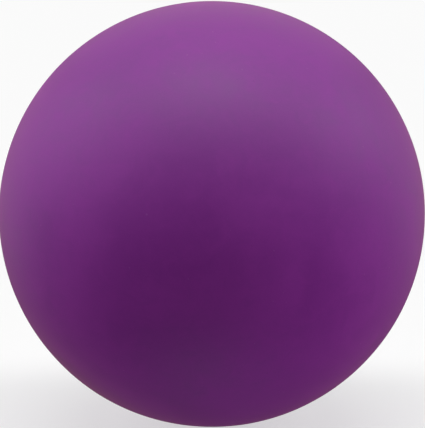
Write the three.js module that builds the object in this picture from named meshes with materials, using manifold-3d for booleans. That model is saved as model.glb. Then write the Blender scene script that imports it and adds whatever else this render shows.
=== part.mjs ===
// A massage ball: a firm rubber core inside a soft silicone cover.
// The cover is two moulded half shells with a tongue-and-groove joint, bonded round the core by a ring of
// adhesive, and it stands on the small flat that its own weight presses into it.
//
// Frame: millimetres, +Z up, origin at the middle of the flat that the ball rests on.
// The seam between the half shells is upright, in the XZ plane, and the front half is towards -Y.

import * as THREE from "three";
import { mergeVertices } from "three/addons/utils/BufferGeometryUtils.js";
import Module from "manifold-3d";

// ---- Driving dimensions ----
const BALL_DIAMETER = 63.5;
const CORE_DIAMETER = 38;
const RESTING_FLAT_RADIUS = 3; // where the cover is pressed flat by the ball's weight

const CORE_CLEARANCE = 0.3; // the bond line between the core and the cover
const GLUE_LINE = 0.4; // from face to face of the half shells at the seam
const GLUE_GAP = 0.05; // kept between the adhesive and each shell
const GLUE_RECESS = 0.2; // the cured adhesive stops this far below the ball's surface, and inside the lining

const TONGUE_MIDDLE_RADIUS = 25.4;
const TONGUE_WIDTH = 3;
const TONGUE_HEIGHT = 2.5;
const TONGUE_DRAFT = 0.2; // each flank leans in by this much over the tongue's height

const CORE_FLASH_WIDTH = 0.8; // the trimmed flash round the core's own mould line
const CORE_FLASH_HEIGHT = 0.12;
const CORE_PIN_MARK_RADIUS = 2; // the shallow marks that the mould's pins leave at the core's poles
const CORE_PIN_MARK_DEPTH = 0.6;

// ---- Fineness of the facets ----
const SEGMENTS_AROUND = 64;
const COVER_ARC_STEPS = 16; // over a quarter circle
const LINING_ARC_STEPS = 10;
const CORE_ARC_STEPS = 12;

// ---- Sizes that follow ----
const BALL_RADIUS = BALL_DIAMETER / 2;
const CORE_RADIUS = CORE_DIAMETER / 2;
const LINING_RADIUS = CORE_RADIUS + CORE_CLEARANCE;
const CENTRE_HEIGHT = Math.sqrt(BALL_RADIUS ** 2 - RESTING_FLAT_RADIUS ** 2);
const FACE_Y = GLUE_LINE / 2; // how far each half shell's mating face stands from the seam's plane

// ---- Materials ----
const silicone = new THREE.MeshStandardMaterial({ color: 0x6f2c7d, roughness: 0.45, metalness: 0 });
const coreRubber = new THREE.MeshStandardMaterial({ color: 0x33303a, roughness: 0.7, metalness: 0 });
const adhesive = new THREE.MeshStandardMaterial({ color: 0x4a1d57, roughness: 0.35, metalness: 0 });

// ---- Shape helpers ----

// Points of an arc about the origin, with angles measured from the +X axis of the profile.
function arc(radius, from, to, steps) {
  const points = [];
  for (let i = 0; i <= steps; i++) {
    const angle = from + ((to - from) * i) / steps;
    points.push(new THREE.Vector2(radius * Math.cos(angle), radius * Math.sin(angle)));
  }
  return points;
}

// The first and last points of an open profile lie exactly on the axis of revolution.
function closeOnAxis(points) {
  points[0].x = 0;
  points[points.length - 1].x = 0;
  return points;
}

function revolve(points) {
  return new THREE.LatheGeometry(points, SEGMENTS_AROUND);
}

const wasm = await Module();
wasm.setup();

// A closed geometry as a manifold-3d solid, at the place that the matrix puts it.
function toSolid(geometry, matrix = new THREE.Matrix4()) {
  const bare = new THREE.BufferGeometry();
  bare.setAttribute("position", geometry.getAttribute("position").clone());
  bare.setIndex(geometry.getIndex());
  const merged = mergeVertices(bare.applyMatrix4(matrix), 1e-4);
  return new wasm.Manifold(
    new wasm.Mesh({
      numProp: 3,
      vertProperties: merged.attributes.position.array,
      triVerts: new Uint32Array(merged.index.array),
    }),
  );
}

function toGeometry(solid) {
  const mesh = solid.getMesh();
  const geometry = new THREE.BufferGeometry();
  geometry.setAttribute("position", new THREE.BufferAttribute(mesh.vertProperties, mesh.numProp));
  geometry.setIndex(new THREE.BufferAttribute(mesh.triVerts, 1));
  geometry.computeVertexNormals();
  return geometry;
}

// A half shell is made about the ball's centre, and its foot is pressed flat where the ground is below it.
function flattenFoot(geometry) {
  const block = new THREE.BoxGeometry(2 * BALL_DIAMETER, 2 * BALL_DIAMETER, BALL_RADIUS);
  const ground = toSolid(block, new THREE.Matrix4().makeTranslation(0, 0, -CENTRE_HEIGHT - BALL_RADIUS / 2));
  return toGeometry(toSolid(geometry).subtract(ground));
}

// ---- The joint between the half shells ----

// The tongue's outline, or with a positive margin the groove's, as a path from the rim inwards.
// baseY is the height of the face that it stands on, and it rises by the tongue's height and the margin.
function tongueOutline(baseY, margin) {
  const half = TONGUE_WIDTH / 2 + margin;
  const topY = TONGUE_HEIGHT - FACE_Y + margin;
  return [
    new THREE.Vector2(TONGUE_MIDDLE_RADIUS + half, baseY),
    new THREE.Vector2(TONGUE_MIDDLE_RADIUS + half - TONGUE_DRAFT, topY),
    new THREE.Vector2(TONGUE_MIDDLE_RADIUS - half + TONGUE_DRAFT, topY),
    new THREE.Vector2(TONGUE_MIDDLE_RADIUS - half, baseY),
  ];
}

// One face of the joint from the ball's surface to the lining, as a path inwards.
function jointPath(faceY, margin, outerRadius, innerRadius) {
  return [
    new THREE.Vector2(Math.sqrt(outerRadius ** 2 - faceY ** 2), faceY),
    ...tongueOutline(faceY, margin),
    new THREE.Vector2(Math.sqrt(innerRadius ** 2 - faceY ** 2), faceY),
  ];
}

// ---- The pieces ----

// The half with the groove, from the far pole to the seam. The seam's axis is Y.
function backHalfShell() {
  const rimAngle = Math.asin(FACE_Y / BALL_RADIUS);
  const liningAngle = Math.asin(FACE_Y / LINING_RADIUS);
  const lining = arc(LINING_RADIUS, Math.PI / 2, liningAngle, LINING_ARC_STEPS);
  const cover = arc(BALL_RADIUS, rimAngle, Math.PI / 2, COVER_ARC_STEPS);
  const joint = jointPath(FACE_Y, GLUE_LINE, BALL_RADIUS, LINING_RADIUS).reverse();
  return revolve(closeOnAxis([...lining, ...joint.slice(1, -1), ...cover]));
}

// The half with the tongue, from the near pole to the seam.
function frontHalfShell() {
  const rimAngle = Math.asin(FACE_Y / BALL_RADIUS);
  const liningAngle = Math.asin(FACE_Y / LINING_RADIUS);
  const cover = arc(BALL_RADIUS, -Math.PI / 2, -rimAngle, COVER_ARC_STEPS);
  const lining = arc(LINING_RADIUS, -liningAngle, -Math.PI / 2, LINING_ARC_STEPS);
  const joint = jointPath(-FACE_Y, 0, BALL_RADIUS, LINING_RADIUS);
  return revolve(closeOnAxis([...cover, ...joint.slice(1, -1), ...lining]));
}

// The ring of adhesive between them, which follows the tongue and the groove.
function adhesiveRing() {
  const outer = BALL_RADIUS - GLUE_RECESS;
  const inner = LINING_RADIUS + GLUE_RECESS;
  const inGroove = jointPath(FACE_Y - GLUE_GAP, GLUE_LINE - GLUE_GAP, outer, inner);
  const onTongue = jointPath(GLUE_GAP - FACE_Y, GLUE_GAP, outer, inner).reverse();
  return revolve([...inGroove, ...onTongue, inGroove[0].clone()]);
}

// The firm ball inside, with the traces of its own mould: a trimmed flash line and two pin marks.
function coreBall() {
  const markAngle = Math.acos(CORE_PIN_MARK_RADIUS / CORE_RADIUS);
  const flashAngle = Math.asin(CORE_FLASH_WIDTH / 2 / CORE_RADIUS);
  const markHeight = CORE_RADIUS * Math.sin(markAngle);
  const lower = arc(CORE_RADIUS, -markAngle, -flashAngle, CORE_ARC_STEPS);
  const upper = arc(CORE_RADIUS, flashAngle, markAngle, CORE_ARC_STEPS);
  const points = [
    new THREE.Vector2(0, -markHeight + CORE_PIN_MARK_DEPTH),
    ...lower,
    new THREE.Vector2(CORE_RADIUS + CORE_FLASH_HEIGHT, 0),
    ...upper,
    new THREE.Vector2(0, markHeight - CORE_PIN_MARK_DEPTH),
  ];
  return revolve(points);
}

// ---- Assembly ----

function part(name, geometry, material) {
  const mesh = new THREE.Mesh(geometry, material);
  mesh.name = name;
  return mesh;
}

// The core's own mould line lies level, square to the seam of the cover.
const core = part("firm_core", coreBall(), coreRubber);
core.rotation.x = Math.PI / 2;

const ball = new THREE.Group();
ball.add(part("half_shell_front", flattenFoot(frontHalfShell()), silicone));
ball.add(part("half_shell_back", flattenFoot(backHalfShell()), silicone));
ball.add(part("seam_adhesive", adhesiveRing(), adhesive));
ball.add(core);
ball.children.forEach((piece) => {
  piece.position.z = CENTRE_HEIGHT;
});

export default ball;
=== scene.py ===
import math

import bmesh
import bpy
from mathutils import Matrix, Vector, noise


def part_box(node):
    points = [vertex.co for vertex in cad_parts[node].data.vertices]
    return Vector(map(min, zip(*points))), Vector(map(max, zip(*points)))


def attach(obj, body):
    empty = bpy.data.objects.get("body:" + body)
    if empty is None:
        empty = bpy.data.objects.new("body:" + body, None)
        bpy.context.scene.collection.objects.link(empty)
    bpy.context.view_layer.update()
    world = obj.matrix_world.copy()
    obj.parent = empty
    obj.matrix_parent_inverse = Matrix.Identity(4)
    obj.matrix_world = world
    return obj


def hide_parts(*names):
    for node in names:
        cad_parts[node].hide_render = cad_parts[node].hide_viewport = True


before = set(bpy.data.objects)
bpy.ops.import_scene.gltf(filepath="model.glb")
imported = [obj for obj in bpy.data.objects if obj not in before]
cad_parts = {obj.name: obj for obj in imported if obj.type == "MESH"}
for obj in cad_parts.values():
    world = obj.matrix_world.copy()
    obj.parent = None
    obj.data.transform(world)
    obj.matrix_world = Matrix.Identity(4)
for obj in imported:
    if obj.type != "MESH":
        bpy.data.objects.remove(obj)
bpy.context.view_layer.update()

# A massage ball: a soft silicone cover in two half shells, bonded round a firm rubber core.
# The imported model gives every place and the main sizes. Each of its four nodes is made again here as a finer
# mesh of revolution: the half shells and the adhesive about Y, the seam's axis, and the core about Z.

MM = 0.001

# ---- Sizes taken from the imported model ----

FRONT_LO, FRONT_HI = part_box("half_shell_front")
BACK_LO, BACK_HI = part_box("half_shell_back")
GLUE_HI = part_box("seam_adhesive")[1]
CORE_LO, CORE_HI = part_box("firm_core")

RADIUS = (BACK_HI[1] - FRONT_LO[1]) / 2
CORE_FLASH_HEIGHT = 0.12 * MM
CORE_RADIUS = (CORE_HI[0] - CORE_LO[0]) / 2 - CORE_FLASH_HEIGHT
CORE_HALF_HEIGHT = (CORE_HI[2] - CORE_LO[2]) / 2
CENTRE = Vector((0.0, 0.0, (CORE_LO[2] + CORE_HI[2]) / 2))
HALF_GAP = BACK_LO[1]  # from the seam's plane to each half shell's face
TONGUE_TOP = FRONT_HI[1]
GLUE_TOP = GLUE_HI[1]

# ---- Sizes inside the ball ----

CORE_CLEARANCE = 0.3 * MM
LINING_RADIUS = CORE_RADIUS + CORE_CLEARANCE
CORE_FLASH_WIDTH = 0.8 * MM
CORE_PIN_MARK_DEPTH = 0.6 * MM
CORE_GRAIN = 0.05 * MM
CORE_GRAIN_LENGTH = 2.5 * MM

TONGUE_MIDDLE = 0.8 * RADIUS
TONGUE_HALF_WIDTH = 1.5 * MM
TONGUE_DRAFT = 0.2 * MM  # each flank leans in by this much over the tongue's height
GROOVE_MARGIN = 2 * HALF_GAP  # the groove is as far from the tongue as the half shells' faces are apart

# ---- Sizes of the finish ----

FLAT_SOFTNESS = 0.04 * MM  # how gently the resting flat runs out into the cover
FLAT_REACH = 10 * FLAT_SOFTNESS  # higher above the ground than this, the flat changes nothing
LIP_ROUNDING = 0.14 * MM
GLUE_SINK = 0.05 * MM  # from the ball's surface down to the adhesive where it meets the lips
GLUE_HOLLOW = 0.03 * MM  # how much deeper the middle of the adhesive's edge is
GLUE_CREEP = 0.05 * MM  # how far the adhesive's edge wets each lip
GLUE_BITE = 0.005 * MM  # how far the adhesive reaches into the faces that it bonds
GLUE_RECESS = 0.2 * MM  # from the lining out to the adhesive's inner edge
SEAM_BUFF_DEPTH = 0.015 * MM
SEAM_BUFF_WIDTH = 1.6 * MM  # to each side of the seam's plane

WAVINESS = 0.03 * MM
WAVE_LENGTH = 13 * MM
RIPPLE = 0.006 * MM
RIPPLE_LENGTH = 3.5 * MM
RIPPLE_SHIFT = Vector((31.0, 7.0, 11.0))  # keeps the ripple's noise apart from the waviness
SKIN_OUTSIDE = 0.99 * RADIUS
SKIN_INSIDE = 0.93 * RADIUS  # from SKIN_OUTSIDE down to here, what moulding and buffing did fades out

# ---- Fineness of the meshes ----

AROUND = 320
DOME_STEPS = 120
LINING_STEPS = 40
CORE_STEPS = 60
FLASH_STEPS = 6
MARK_STEPS = 12
MENISCUS_STEPS = 8
CORNER_STEPS = 4
CORNER_SHARE = 0.45  # the most of either edge that a rounded corner may take
ON_AXIS = 1e-7  # a point nearer to the axis than this is a pole


# ---- Meshes of revolution ----


def arc(radius, start, end, steps):
    """Points of an arc about the ball's centre as (distance from the axis, height along it), with start and
    end as angles above the plane that is square to the axis."""
    points = []
    for i in range(steps + 1):
        angle = start + (end - start) * i / steps
        points.append((radius * math.cos(angle), radius * math.sin(angle)))
    return points


def rounded(corners, rounding):
    """The same open path with each inner corner rounded by a quadratic curve."""
    path = [corners[0]]
    for before, corner, after in zip(corners, corners[1:], corners[2:]):
        corner = Vector(corner)
        to_before = Vector(before) - corner
        to_after = Vector(after) - corner
        reach = min(rounding, CORNER_SHARE * to_before.length, CORNER_SHARE * to_after.length)
        start = corner + to_before.normalized() * reach
        end = corner + to_after.normalized() * reach
        for i in range(CORNER_STEPS + 1):
            t = i / CORNER_STEPS
            path.append(tuple(start * (1 - t) ** 2 + corner * 2 * t * (1 - t) + end * t**2))
    path.append(corners[-1])
    return path


def revolve(name, profile, shape, upright=False):
    """A closed mesh of revolution about the ball's centre: round the Y axis, or round Z if it is upright.
    A profile that starts and ends on the axis closes there, and any other makes a ring. shape moves each
    point to its final place."""
    mesh = bpy.data.meshes.new(name)
    bm = bmesh.new()
    rings = []
    for radius, along in profile:
        ring = []
        count = 1 if radius < ON_AXIS else AROUND
        for i in range(count):
            angle = 2 * math.pi * i / AROUND
            across = (radius * math.sin(angle), radius * math.cos(angle))
            offset = Vector((*across, along)) if upright else Vector((across[0], along, across[1]))
            ring.append(bm.verts.new(shape(CENTRE + offset)))
        rings.append(ring)
    pairs = list(zip(rings, rings[1:]))
    if len(rings[0]) > 1:
        pairs.append((rings[-1], rings[0]))
    for a, b in pairs:
        for i in range(AROUND):
            j = (i + 1) % AROUND
            corners = [a[i % len(a)], a[j % len(a)], b[j % len(b)], b[i % len(b)]]
            unique = list(dict.fromkeys(corners))
            if len(unique) > 2:
                bm.faces.new(unique)
    bmesh.ops.recalc_face_normals(bm, faces=bm.faces)
    for face in bm.faces:
        face.smooth = True
    bm.to_mesh(mesh)
    bm.free()
    piece = bpy.data.objects.new(name, mesh)
    bpy.context.collection.objects.link(piece)
    return piece


# ---- The surface of the cover ----


def smoothstep(low, high, value):
    """0 up to low, 1 from high, and smooth between them."""
    t = min(max((value - low) / (high - low), 0.0), 1.0)
    return t * t * (3 - 2 * t)


def moulded(point):
    """A point of the cover or of the adhesive, moved as moulding and buffing leave the ball's outside."""
    out = point - CENTRE
    skin = smoothstep(SKIN_INSIDE, SKIN_OUTSIDE, out.length)
    if skin == 0.0:
        return point
    wave = WAVINESS * noise.noise(point / WAVE_LENGTH)
    ripple = RIPPLE * noise.noise(point / RIPPLE_LENGTH + RIPPLE_SHIFT)
    near_seam = 1 - smoothstep(0.0, SEAM_BUFF_WIDTH, abs(out.y))
    height = wave + ripple - SEAM_BUFF_DEPTH * near_seam
    return point + out.normalized() * height * skin


def rest_on_ground(point, ground=0.0):
    """A point of the foot pressed flat: its height becomes a smooth maximum of itself and the ground's."""
    above = point.z - ground
    if above > FLAT_REACH:
        return point
    lifted = FLAT_SOFTNESS * math.log1p(math.exp(above / FLAT_SOFTNESS))
    return Vector((point.x, point.y, ground + lifted))


def cover_surface(point):
    return rest_on_ground(moulded(point))


def glue_surface(point):
    """The adhesive follows the cover, and stays a little above the ground under the pressed foot."""
    return rest_on_ground(moulded(point), GLUE_SINK)


# ---- The pieces ----


def tongue(face_y, top_y, margin):
    """The corners of the tongue, or of the groove with a margin, from the rim inwards."""
    half = TONGUE_HALF_WIDTH + margin
    return [
        (TONGUE_MIDDLE + half, face_y),
        (TONGUE_MIDDLE + half - TONGUE_DRAFT, top_y),
        (TONGUE_MIDDLE - half + TONGUE_DRAFT, top_y),
        (TONGUE_MIDDLE - half, face_y),
    ]


def joint_face(face_y, top_y, margin, outer, inner):
    """One face of the joint from the ball's surface to the lining."""
    rim = (math.sqrt(outer**2 - face_y**2), face_y)
    lip = (math.sqrt(inner**2 - face_y**2), face_y)
    return [rim, *tongue(face_y, top_y, margin), lip]


def half_shell(name, side, face_y, top_y, margin):
    """A half shell from its pole to the seam and back along its lining. side is -1 in front, 1 behind."""
    rim_angle = math.asin((abs(face_y) + LIP_ROUNDING) / RADIUS)
    lining_angle = math.asin((abs(face_y) + LIP_ROUNDING) / LINING_RADIUS)
    dome = arc(RADIUS, side * math.pi / 2, side * rim_angle, DOME_STEPS)
    lining = arc(LINING_RADIUS, side * lining_angle, side * math.pi / 2, LINING_STEPS)
    face = joint_face(face_y, top_y, margin, RADIUS, LINING_RADIUS)
    joint = rounded([dome[-1], *face, lining[0]], LIP_ROUNDING)
    dome[0] = (0.0, side * RADIUS)
    lining[-1] = (0.0, side * LINING_RADIUS)
    return revolve(name, [*dome, *joint[1:-1], *lining], cover_surface)


def glue_ring(name):
    """The ring of adhesive in the joint. Its hollowed outer edge wets the rounded lip of each shell."""
    inner = LINING_RADIUS + GLUE_RECESS
    reach = HALF_GAP + GLUE_CREEP
    meniscus = []
    for i in range(MENISCUS_STEPS + 1):
        t = 1 - 2 * i / MENISCUS_STEPS
        meniscus.append((RADIUS - GLUE_SINK - GLUE_HOLLOW * (1 - t**2), -t * reach))
    throat = RADIUS - LIP_ROUNDING
    on_groove = joint_face(HALF_GAP + GLUE_BITE, GLUE_TOP + GLUE_BITE, GROOVE_MARGIN, throat, inner)
    on_tongue = joint_face(-HALF_GAP - GLUE_BITE, TONGUE_TOP, -GLUE_BITE, throat, inner)
    profile = [*meniscus, *rounded(on_groove, LIP_ROUNDING), *reversed(rounded(on_tongue, LIP_ROUNDING))]
    return revolve(name, profile, glue_surface)


def core_ball(name):
    """The firm core with the traces of its own mould: the trimmed flash round its level equator, and the
    dished marks of the mould's pins at its top and bottom."""
    mark_angle = math.asin(CORE_HALF_HEIGHT / CORE_RADIUS)
    flash_angle = CORE_FLASH_WIDTH / 2 / CORE_RADIUS
    mark_radius = CORE_RADIUS * math.cos(mark_angle)
    dish = []
    for i in range(MARK_STEPS):
        t = i / MARK_STEPS
        dish.append((mark_radius * t, CORE_HALF_HEIGHT - CORE_PIN_MARK_DEPTH * (1 - t**4)))
    dome = arc(CORE_RADIUS, mark_angle, flash_angle, CORE_STEPS)
    flash = []
    for i in range(1, FLASH_STEPS):
        angle = flash_angle * (1 - i / FLASH_STEPS)
        radius = CORE_RADIUS + CORE_FLASH_HEIGHT * smoothstep(0.0, 1.0, i / FLASH_STEPS)
        flash.append((radius * math.cos(angle), radius * math.sin(angle)))
    crest = (CORE_RADIUS + CORE_FLASH_HEIGHT, 0.0)
    upper = [*dish, *dome, *flash]
    lower = [(radius, -along) for radius, along in reversed(upper)]
    return revolve(name, [*upper, crest, *lower], core_surface, upright=True)


def core_surface(point):
    """A point of the core, roughened a little inwards by the mould."""
    grain = CORE_GRAIN * (0.5 + 0.5 * noise.noise(point / CORE_GRAIN_LENGTH))
    return point - (point - CENTRE).normalized() * grain


# ---- Materials ----


class Shader:
    """A material's node tree, with short calls that add a node and give its output."""

    def __init__(self, name):
        self.material = bpy.data.materials.new(name)
        self.material.use_nodes = True
        self.tree = self.material.node_tree
        self.surface = self.tree.nodes["Principled BSDF"]
        in_metres = self.add("ShaderNodeTexCoord").outputs["Object"]
        self.mm = self.scaled(in_metres, (1 / MM, 1 / MM, 1 / MM))

    def add(self, kind, **settings):
        made = self.tree.nodes.new(kind)
        for key, value in settings.items():
            setattr(made, key, value)
        return made

    def put(self, socket, value):
        """Links an output to the socket, or sets the socket to a plain value."""
        if isinstance(value, bpy.types.NodeSocket):
            self.tree.links.new(value, socket)
        else:
            socket.default_value = value

    def scaled(self, vector, factors):
        made = self.add("ShaderNodeVectorMath", operation="MULTIPLY")
        self.put(made.inputs[0], vector)
        self.put(made.inputs[1], factors)
        return made.outputs[0]

    def noise(self, length, detail=2.0, roughness=0.5, distortion=0.0, vector=None):
        """Noise from 0 to 1 whose features are about length millimetres long."""
        made = self.add("ShaderNodeTexNoise")
        self.put(made.inputs["Vector"], vector or self.mm)
        self.put(made.inputs["Scale"], 1.0 / length)
        self.put(made.inputs["Detail"], detail)
        self.put(made.inputs["Roughness"], roughness)
        self.put(made.inputs["Distortion"], distortion)
        return made.outputs["Fac"]

    def math(self, operation, a, b=0.0, c=0.0):
        """One step of arithmetic on up to three numbers or outputs."""
        made = self.add("ShaderNodeMath", operation=operation)
        for socket, value in zip(made.inputs, (a, b, c)):
            self.put(socket, value)
        return made.outputs[0]

    def ramp(self, value, low, high, out_low=0.0, out_high=1.0):
        """value mapped smoothly from low..high to out_low..out_high, and held there outside."""
        made = self.add("ShaderNodeMapRange", interpolation_type="SMOOTHSTEP")
        for socket, number in zip(made.inputs, (value, low, high, out_low, out_high)):
            self.put(socket, number)
        return made.outputs[0]

    def mix(self, factor, a, b):
        """The colour a where the factor is 0, and b where it is 1."""
        made = self.add("ShaderNodeMix", data_type="RGBA")
        self.put(made.inputs["Factor"], factor)
        self.put(made.inputs["A"], a)
        self.put(made.inputs["B"], b)
        return made.outputs["Result"]

    def spots(self, cell, radius, share, vector=None):
        """Sparse round spots: one at most in each cell, in that share of the cells. Lengths are in
        millimetres, and a spot is up to 1.3 times the radius."""
        made = self.add("ShaderNodeTexVoronoi")
        self.put(made.inputs["Vector"], vector or self.mm)
        self.put(made.inputs["Scale"], 1.0 / cell)
        chance = self.add("ShaderNodeSeparateColor")
        self.put(chance.inputs[0], made.outputs["Color"])
        chosen = self.math("LESS_THAN", chance.outputs[0], share)
        smallest = 0.3 * radius / cell
        size = self.math("MULTIPLY_ADD", chance.outputs[1], radius / cell, smallest)
        near = self.math("DIVIDE", made.outputs["Distance"], size)
        disc = self.ramp(near, 0.5, 1.0, 1.0, 0.0)
        return self.math("MULTIPLY", disc, chosen)

    def scuffs(self, cell, width, length, share, turn):
        """Short fine lines that all run one way: spots in a space that is turned and then squeezed."""
        turned = self.add("ShaderNodeMapping")
        self.put(turned.inputs["Vector"], self.mm)
        self.put(turned.inputs["Rotation"], turn)
        squeezed = self.scaled(turned.outputs[0], (width / length, 1.0, 1.0))
        return self.spots(cell, width, share, squeezed)

    def bump(self, height, distance, normal=None):
        """height from 0 to 1 stands for distance millimetres of relief, on top of an earlier bump."""
        made = self.add("ShaderNodeBump")
        self.put(made.inputs["Height"], height)
        self.put(made.inputs["Distance"], distance * MM)
        self.put(made.inputs["Strength"], 1.0)
        if normal:
            self.put(made.inputs["Normal"], normal)
        return made.outputs["Normal"]

    def finish(self, **sockets):
        """Fills the surface's sockets, named with _ for each space, and gives the material."""
        for name, value in sockets.items():
            self.put(self.surface.inputs[name.replace("_", " ")], value)
        return self.material


def silicone():
    """Satin purple silicone: clouded pigment, a fine moulded grain, a few specks and faint scuffs, and a
    matter band along the seam where it was buffed."""
    s = Shader("purple silicone")
    clouds = s.noise(length=16.0, detail=3.0, roughness=0.55, distortion=0.6)
    flow = s.noise(length=3.0, detail=3.0, roughness=0.55, distortion=1.5)
    grain = s.noise(length=0.22)
    dust = s.spots(cell=1.8, radius=0.14, share=0.5)
    pits = s.spots(cell=2.2, radius=0.12, share=0.5)
    short_scuffs = s.scuffs(cell=1.3, width=0.05, length=1.2, share=0.7, turn=(0.4, 0.9, 0.2))
    long_scuffs = s.scuffs(cell=1.5, width=0.04, length=2.0, share=0.7, turn=(1.3, -0.5, 1.1))
    scuffs = s.math("MAXIMUM", short_scuffs, long_scuffs)
    split = s.add("ShaderNodeSeparateXYZ")
    s.put(split.inputs[0], s.mm)
    from_seam = s.math("ABSOLUTE", split.outputs["Y"])
    fully_buffed = 0.3
    buffed = s.ramp(from_seam, fully_buffed, SEAM_BUFF_WIDTH / MM, 1.0, 0.0)
    along_seam = s.scaled(s.mm, (0.15, 9.0, 0.15))
    brushed = s.noise(length=1.0, vector=along_seam)

    deep_purple = (0.179, 0.0168, 0.224, 1)
    light_purple = (0.219, 0.0218, 0.263, 1)
    grain_tips = (0.30, 0.07, 0.34, 1)
    buffed_skin = (0.34, 0.14, 0.38, 1)
    scuffed_skin = (0.40, 0.20, 0.44, 1)
    dust_colour = (0.42, 0.27, 0.44, 1)
    pit_shadow = (0.09, 0.01, 0.11, 1)
    shade = s.math("MULTIPLY_ADD", clouds, 0.6, s.math("MULTIPLY", flow, 0.4))
    colour = s.mix(s.ramp(shade, 0.3, 0.7), deep_purple, light_purple)
    colour = s.mix(s.ramp(grain, 0.3, 0.7, 0.0, 0.05), colour, grain_tips)
    colour = s.mix(s.math("MULTIPLY", buffed, 0.06), colour, buffed_skin)
    colour = s.mix(s.math("MULTIPLY", scuffs, 0.11), colour, scuffed_skin)
    colour = s.mix(s.math("MULTIPLY", dust, 0.1), colour, dust_colour)
    colour = s.mix(s.math("MULTIPLY", pits, 0.25), colour, pit_shadow)

    rough = s.ramp(clouds, 0.3, 0.7, 0.55, 0.63)
    rough = s.math("MULTIPLY_ADD", s.ramp(flow, 0.3, 0.7), 0.05, rough)
    rough = s.math("MULTIPLY_ADD", scuffs, 0.08, rough)
    rough = s.math("MULTIPLY_ADD", buffed, s.ramp(brushed, 0.2, 0.8, 0.04, 0.14), rough)

    normal = s.bump(s.noise(length=1.8), 0.006)
    normal = s.bump(grain, 0.005, normal)
    normal = s.bump(s.math("MULTIPLY", brushed, buffed), 0.003, normal)
    normal = s.bump(s.math("SUBTRACT", dust, pits), 0.012, normal)
    return s.finish(
        Base_Color=colour,
        Roughness=rough,
        Normal=normal,
        IOR=1.5,
        Sheen_Weight=0.14,
        Sheen_Roughness=0.4,
        Sheen_Tint=(1.0, 0.6, 0.25, 1.0),
    )


def cured_adhesive():
    """Silicone adhesive close to the cover's colour, a little glossier and deeper, with trapped bubbles."""
    s = Shader("cured adhesive")
    cloud = s.noise(length=3.0)
    bubbles = s.spots(cell=0.9, radius=0.12, share=0.3)
    deep_purple = (0.13, 0.014, 0.158, 1)
    light_purple = (0.17, 0.02, 0.204, 1)
    bubble_colour = (0.2, 0.05, 0.24, 1)
    colour = s.mix(s.ramp(cloud, 0.3, 0.7), deep_purple, light_purple)
    colour = s.mix(s.math("MULTIPLY", bubbles, 0.5), colour, bubble_colour)
    rough = s.ramp(cloud, 0.3, 0.7, 0.48, 0.58)
    normal = s.bump(s.noise(length=0.7), 0.008)
    normal = s.bump(bubbles, 0.02, normal)
    return s.finish(Base_Color=colour, Roughness=rough, Normal=normal, IOR=1.42)


def core_rubber():
    """Matt black rubber with a fine crumb, paler flecks and a dry bloom."""
    s = Shader("core rubber")
    bloom = s.noise(length=7.0, detail=4.0, roughness=0.6)
    crumb = s.noise(length=0.5, detail=3.0, roughness=0.7)
    fleck = s.spots(cell=1.3, radius=0.25, share=0.25)
    clean_black = (0.028, 0.025, 0.031, 1)
    bloomed_black = (0.05, 0.046, 0.054, 1)
    fleck_grey = (0.1, 0.09, 0.105, 1)
    colour = s.mix(s.ramp(bloom, 0.35, 0.7), clean_black, bloomed_black)
    colour = s.mix(s.math("MULTIPLY", fleck, 0.5), colour, fleck_grey)
    rough = s.ramp(crumb, 0.3, 0.7, 0.62, 0.8)
    normal = s.bump(crumb, 0.03)
    normal = s.bump(fleck, 0.02, normal)
    return s.finish(Base_Color=colour, Roughness=rough, Normal=normal, IOR=1.52)


# ---- The ball ----


def place(piece, node, material):
    """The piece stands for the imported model's node and with its own material."""
    piece.data.materials.append(material)
    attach(piece, "root")
    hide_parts(node)


cover = silicone()
front = half_shell("cover_front", -1, -HALF_GAP, TONGUE_TOP, 0.0)
back = half_shell("cover_back", 1, HALF_GAP, TONGUE_TOP + GROOVE_MARGIN, GROOVE_MARGIN)
place(front, "half_shell_front", cover)
place(back, "half_shell_back", cover)
place(glue_ring("seam_glue"), "seam_adhesive", cured_adhesive())
place(core_ball("core"), "firm_core", core_rubber())


# ---- Stage: floor, lights and camera ----

BACKDROP = (0.96, 0.96, 0.96, 1)
FLOOR_COLOUR = (0.8, 0.8, 0.8, 1)
FLOOR_GLOW = 0.6  # the share of the backdrop's own light in the floor near the ball
FLOOR_HALF = 150 * RADIUS
FLOOR_FADE_START = 4 * RADIUS
FLOOR_FADE_END = 16 * RADIUS
LIGHT_DISTANCE = 2.1

# Each softbox as name, azimuth, elevation, width, height and power, in degrees, metres and watts.
SOFTBOXES = [
    ("overhead", 0, 75, 2.4, 0.9, 36),
    ("left", -90, 35, 1.05, 1.05, 14.5),
    ("right", 90, 35, 1.05, 1.05, 13.5),
    ("high rear", 180, 45, 2.4, 1.2, 7.5),
    ("rear left", -120, 5, 1.5, 1.5, 5),
    ("rear right", 120, 5, 1.5, 1.5, 4),
    ("under", 0, -80, 1.5, 1.5, 4),
]
FILL_SOFTBOXES = [
    ("front fill", 0, 0, 1.5, 1.5, 11),
    ("left fill", -85, 12, 1.2, 1.2, 13),
    ("right fill", 85, 12, 1.2, 1.2, 13.5),
    ("low right fill", 90, -60, 1.5, 1.5, 17),
    ("low rear fill", -125, -20, 1.2, 1.2, 9),
]

LENS = 100  # mm
CAMERA_ELEVATION = math.radians(5)
BALL_SHARE = 0.99533  # of the picture's height
SHIFT_ACROSS = 0.001285  # of the picture's height


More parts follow.
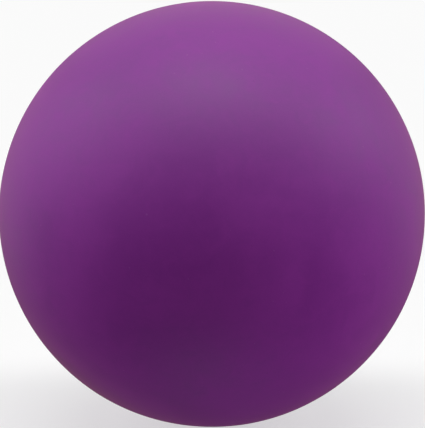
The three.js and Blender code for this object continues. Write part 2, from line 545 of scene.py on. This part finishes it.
def make_floor():
    """A pale floor that takes the ball's soft shadow, and turns into the backdrop's colour further out. Only
    the camera sees it, so it neither lights the ball nor stands in the way of the fill light from below."""
    mesh = bpy.data.meshes.new("floor")
    corners = [(-1, -1), (1, -1), (1, 1), (-1, 1)]
    mesh.from_pydata([(FLOOR_HALF * x, FLOOR_HALF * y, 0) for x, y in corners], [], [(0, 1, 2, 3)])
    material = bpy.data.materials.new("pale floor")
    material.use_nodes = True
    nodes = material.node_tree.nodes
    links = material.node_tree.links
    near = nodes["Principled BSDF"]
    near.inputs["Base Color"].default_value = FLOOR_COLOUR
    near.inputs["Roughness"].default_value = 0.9
    near.inputs["Specular IOR Level"].default_value = 0.0
    far = nodes.new("ShaderNodeEmission")
    far.inputs["Color"].default_value = BACKDROP
    position = nodes.new("ShaderNodeTexCoord")
    distance = nodes.new("ShaderNodeVectorMath")
    distance.operation = "LENGTH"
    fade = nodes.new("ShaderNodeMapRange")
    fade.interpolation_type = "SMOOTHSTEP"
    fade.inputs["From Min"].default_value = FLOOR_FADE_START
    fade.inputs["From Max"].default_value = FLOOR_FADE_END
    fade.inputs["To Min"].default_value = FLOOR_GLOW
    mix = nodes.new("ShaderNodeMixShader")
    links.new(position.outputs["Object"], distance.inputs[0])
    links.new(distance.outputs["Value"], fade.inputs["Value"])
    links.new(fade.outputs["Result"], mix.inputs[0])
    links.new(near.outputs[0], mix.inputs[1])
    links.new(far.outputs[0], mix.inputs[2])
    links.new(mix.outputs[0], nodes["Material Output"].inputs["Surface"])
    mesh.materials.append(material)
    floor = bpy.data.objects.new("floor", mesh)
    bpy.context.collection.objects.link(floor)
    floor.visible_diffuse = False
    floor.visible_glossy = False
    floor.visible_shadow = False


def softbox(name, azimuth, elevation, width, height, power, matt=False):
    """A soft white area light aimed at the ball from LIGHT_DISTANCE. Azimuth 0 is the camera's side and 90
    is its right. A matt one fills the colour without a reflection of its own."""
    light = bpy.data.lights.new(name, "AREA")
    light.shape = "RECTANGLE"
    light.size = width
    light.size_y = height
    light.energy = power
    light.cycles.use_multiple_importance_sampling = not matt
    lamp = bpy.data.objects.new(name, light)
    bpy.context.collection.objects.link(lamp)
    a = math.radians(azimuth)
    e = math.radians(elevation)
    away = Vector((math.sin(a) * math.cos(e), -math.cos(a) * math.cos(e), math.sin(e)))
    lamp.location = CENTRE + LIGHT_DISTANCE * away
    lamp.rotation_euler = away.to_track_quat("Z", "Y").to_euler()
    lamp.visible_camera = False
    lamp.visible_glossy = not matt


def make_world():
    """A pale backdrop that only the camera sees. All the light on the ball comes from the softboxes."""
    world = bpy.data.worlds.new("studio")
    bpy.context.scene.world = world
    world.use_nodes = True
    world.node_tree.nodes["Background"].inputs["Color"].default_value = BACKDROP
    world.cycles_visibility.diffuse = False
    world.cycles_visibility.glossy = False
    world.cycles_visibility.transmission = False
    world.cycles_visibility.scatter = False


def make_camera():
    """The ball just fills the height of the picture, seen from a little above its middle. The height is the
    picture's longer side, which the lens's angle of view spans."""
    data = bpy.data.cameras.new("camera")
    camera = bpy.data.objects.new("camera", data)
    bpy.context.collection.objects.link(camera)
    data.lens = LENS
    data.clip_start = 0.01
    half_view = data.sensor_width / 2 / data.lens
    half_ball = math.atan(half_view * BALL_SHARE)
    distance = RADIUS / math.sin(half_ball)
    away = Vector((0.0, -math.cos(CAMERA_ELEVATION), math.sin(CAMERA_ELEVATION)))
    camera.location = CENTRE + distance * away
    camera.rotation_euler = away.to_track_quat("Z", "Y").to_euler()
    data.shift_x = SHIFT_ACROSS
    bpy.context.scene.camera = camera


make_floor()
make_world()
for box in SOFTBOXES:
    softbox(*box)
for box in FILL_SOFTBOXES:
    softbox(*box, matt=True)
make_camera()
bpy.context.scene.view_settings.view_transform = "Standard"
